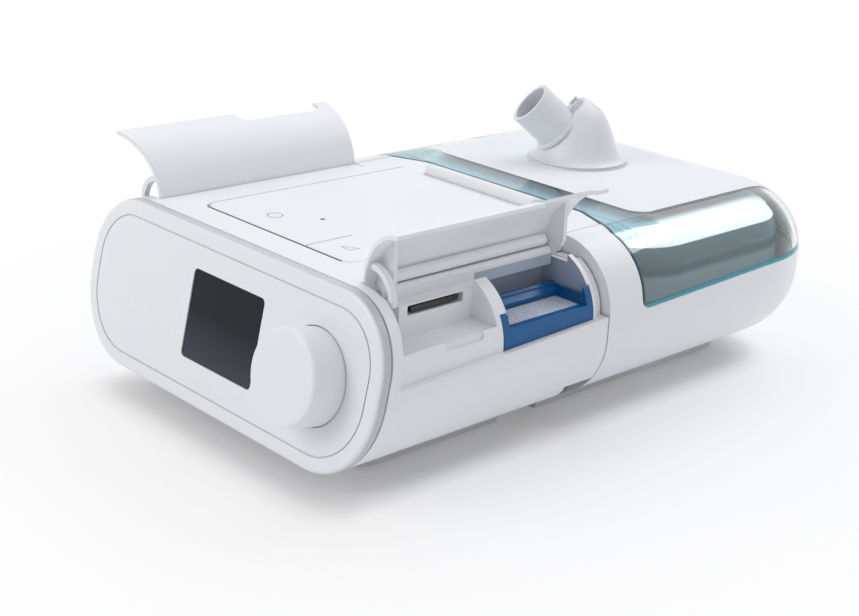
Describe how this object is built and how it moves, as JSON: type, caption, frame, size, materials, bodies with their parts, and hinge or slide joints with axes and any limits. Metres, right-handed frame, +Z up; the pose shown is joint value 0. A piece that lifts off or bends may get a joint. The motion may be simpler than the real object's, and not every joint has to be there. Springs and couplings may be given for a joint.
{
  "type": "cpap machine",
  "caption": "Low rounded bedside breathing machine with a raked front, turning dial, flip-up side covers, clear heated humidifier cover and swivelling hose elbow.",
  "frame": {"origin": "on the ground under the centre of the bounding box", "axes": "+Z up, +Y from the front face to the rear, +X to the right of someone who faces the front"},
  "size_m": [0.193, 0.3073, 0.1203],
  "materials": {
    "white_plastic": "satin white moulded plastic",
    "fascia_plastic": "smooth white moulded plastic",
    "grey_plastic": "fine matt light grey",
    "dark_plastic": "matt black",
    "tray_plastic": "matt light grey",
    "blue_plastic": "satin blue",
    "screen_glass": "dark hard-coated window",
    "clear_plastic": "clear moulded plastic, faint teal",
    "slate_plastic": "smoky clear moulded plastic",
    "rubber": "soft matt rubber",
    "filter_fleece": "white non-woven fleece",
    "steel": "plain steel",
    "aluminium": "rolled aluminium",
    "board": "green circuit board",
    "card_plastic": "fine matt black"
  },
  "bodies": {
    "main_unit": {"front_fascia": "fascia_plastic", "fascia_gasket": "rubber", "display_window": "screen_glass", "display_module": "dark_plastic", "dial_encoder": "dark_plastic", "therapy_housing": "white_plastic", "card_cover_pin": "steel", "accessory_cover_pin": "steel", "card_socket": "dark_plastic", "blower_housing": "dark_plastic", "blower_lid": "dark_plastic", "blower_mounts": "rubber", "blower_motor": "aluminium", "main_board": "board", "board_screws": "steel", "outlet_seal": "rubber", "humidifier_base": "grey_plastic", "cover_hinge_pins": "steel", "tank_base": "slate_plastic", "tank_lid": "white_plastic", "heater_plate": "aluminium", "heater_board": "board", "power_inlet": "dark_plastic", "therapy_tray": "tray_plastic", "humidifier_tray": "tray_plastic", "rubber_feet": "rubber", "base_screws": "steel"},
    "dial_shaft_body": {"dial_shaft": "steel"},
    "dial": {"control_dial": "fascia_plastic"},
    "start_key": {"start_button": "white_plastic", "light_sensor_lens": "dark_plastic"},
    "ramp_key": {"ramp_button": "white_plastic"},
    "right_cover": {"card_cover": "grey_plastic"},
    "left_cover": {"accessory_cover": "grey_plastic"},
    "card": {"memory_card": "card_plastic"},
    "filter": {"air_filter_frame": "blue_plastic", "air_filter_media": "filter_fleece"},
    "module": {"accessory_module": "grey_plastic"},
    "impeller": {"blower_impeller": "white_plastic", "motor_shaft": "steel"},
    "top_cover": {"humidifier_window": "clear_plastic", "humidifier_top": "white_plastic", "elbow_ring": "white_plastic", "elbow_seal": "rubber"},
    "elbow": {"outlet_elbow": "white_plastic", "elbow_connector": "white_plastic"},
    "latch": {"cover_latch": "white_plastic"}
  },
  "joints": [
    {"name": "dial_press", "type": "slide", "parent": "main_unit", "child": "dial_shaft_body", "axis": [0, 0.9789, -0.2045], "range_m": [0, 0.001], "stiffness_N_per_m": 2500, "springref_m": -0.0006},
    {"name": "dial_turn", "type": "hinge", "parent": "dial_shaft_body", "child": "dial", "pos_m": [0.059, -0.13602, 0.04855], "axis": [0, -0.9789, 0.2045], "continuous": true},
    {"name": "start_press", "type": "hinge", "parent": "main_unit", "child": "start_key", "pos_m": [0, 0.00236, 0.0826], "axis": [1, 0, 0], "range_deg": [0, 0.35], "stiffness_Nm_per_rad": 30, "springref_deg": -0.23},
    {"name": "ramp_press", "type": "hinge", "parent": "start_key", "child": "ramp_key", "pos_m": [0.033, -0.08424, 0.0826], "axis": [1, 0, 0], "range_deg": [0, 1.3], "stiffness_Nm_per_rad": 1.6, "springref_deg": -0.46},
    {"name": "right_cover_swing", "type": "hinge", "parent": "main_unit", "child": "right_cover", "pos_m": [0.0702, -0.06694, 0.08], "axis": [0, -1, 0], "range_deg": [-97, 0]},
    {"name": "left_cover_swing", "type": "hinge", "parent": "main_unit", "child": "left_cover", "pos_m": [-0.0702, -0.06694, 0.08], "axis": [0, 1, 0], "range_deg": [-97, 0]},
    {"name": "card_slide", "type": "slide", "parent": "main_unit", "child": "card", "axis": [1, 0, 0], "range_m": [0, 0.025]},
    {"name": "filter_slide", "type": "slide", "parent": "main_unit", "child": "filter", "axis": [1, 0, 0], "range_m": [0, 0.03]},
    {"name": "module_slide", "type": "slide", "parent": "main_unit", "child": "module", "axis": [-1, 0, 0], "range_m": [0, 0.025]},
    {"name": "impeller_spin", "type": "hinge", "parent": "main_unit", "child": "impeller", "pos_m": [0.012, -0.06524, 0.04], "axis": [0, 0, 1], "continuous": true},
    {"name": "top_cover_lift", "type": "hinge", "parent": "main_unit", "child": "top_cover", "pos_m": [0, 0.14956, 0.06325], "axis": [-1, 0, 0], "range_deg": [0, 70]},
    {"name": "elbow_swivel", "type": "hinge", "parent": "top_cover", "child": "elbow", "pos_m": [-0.014, 0.08626, 0.084], "axis": [0, 0, 1], "continuous": true},
    {"name": "latch_press", "type": "slide", "parent": "main_unit", "child": "latch", "axis": [0, 0, -1], "range_m": [0, 0.0016], "stiffness_N_per_m": 1500, "springref_m": -0.0008}
  ]
}
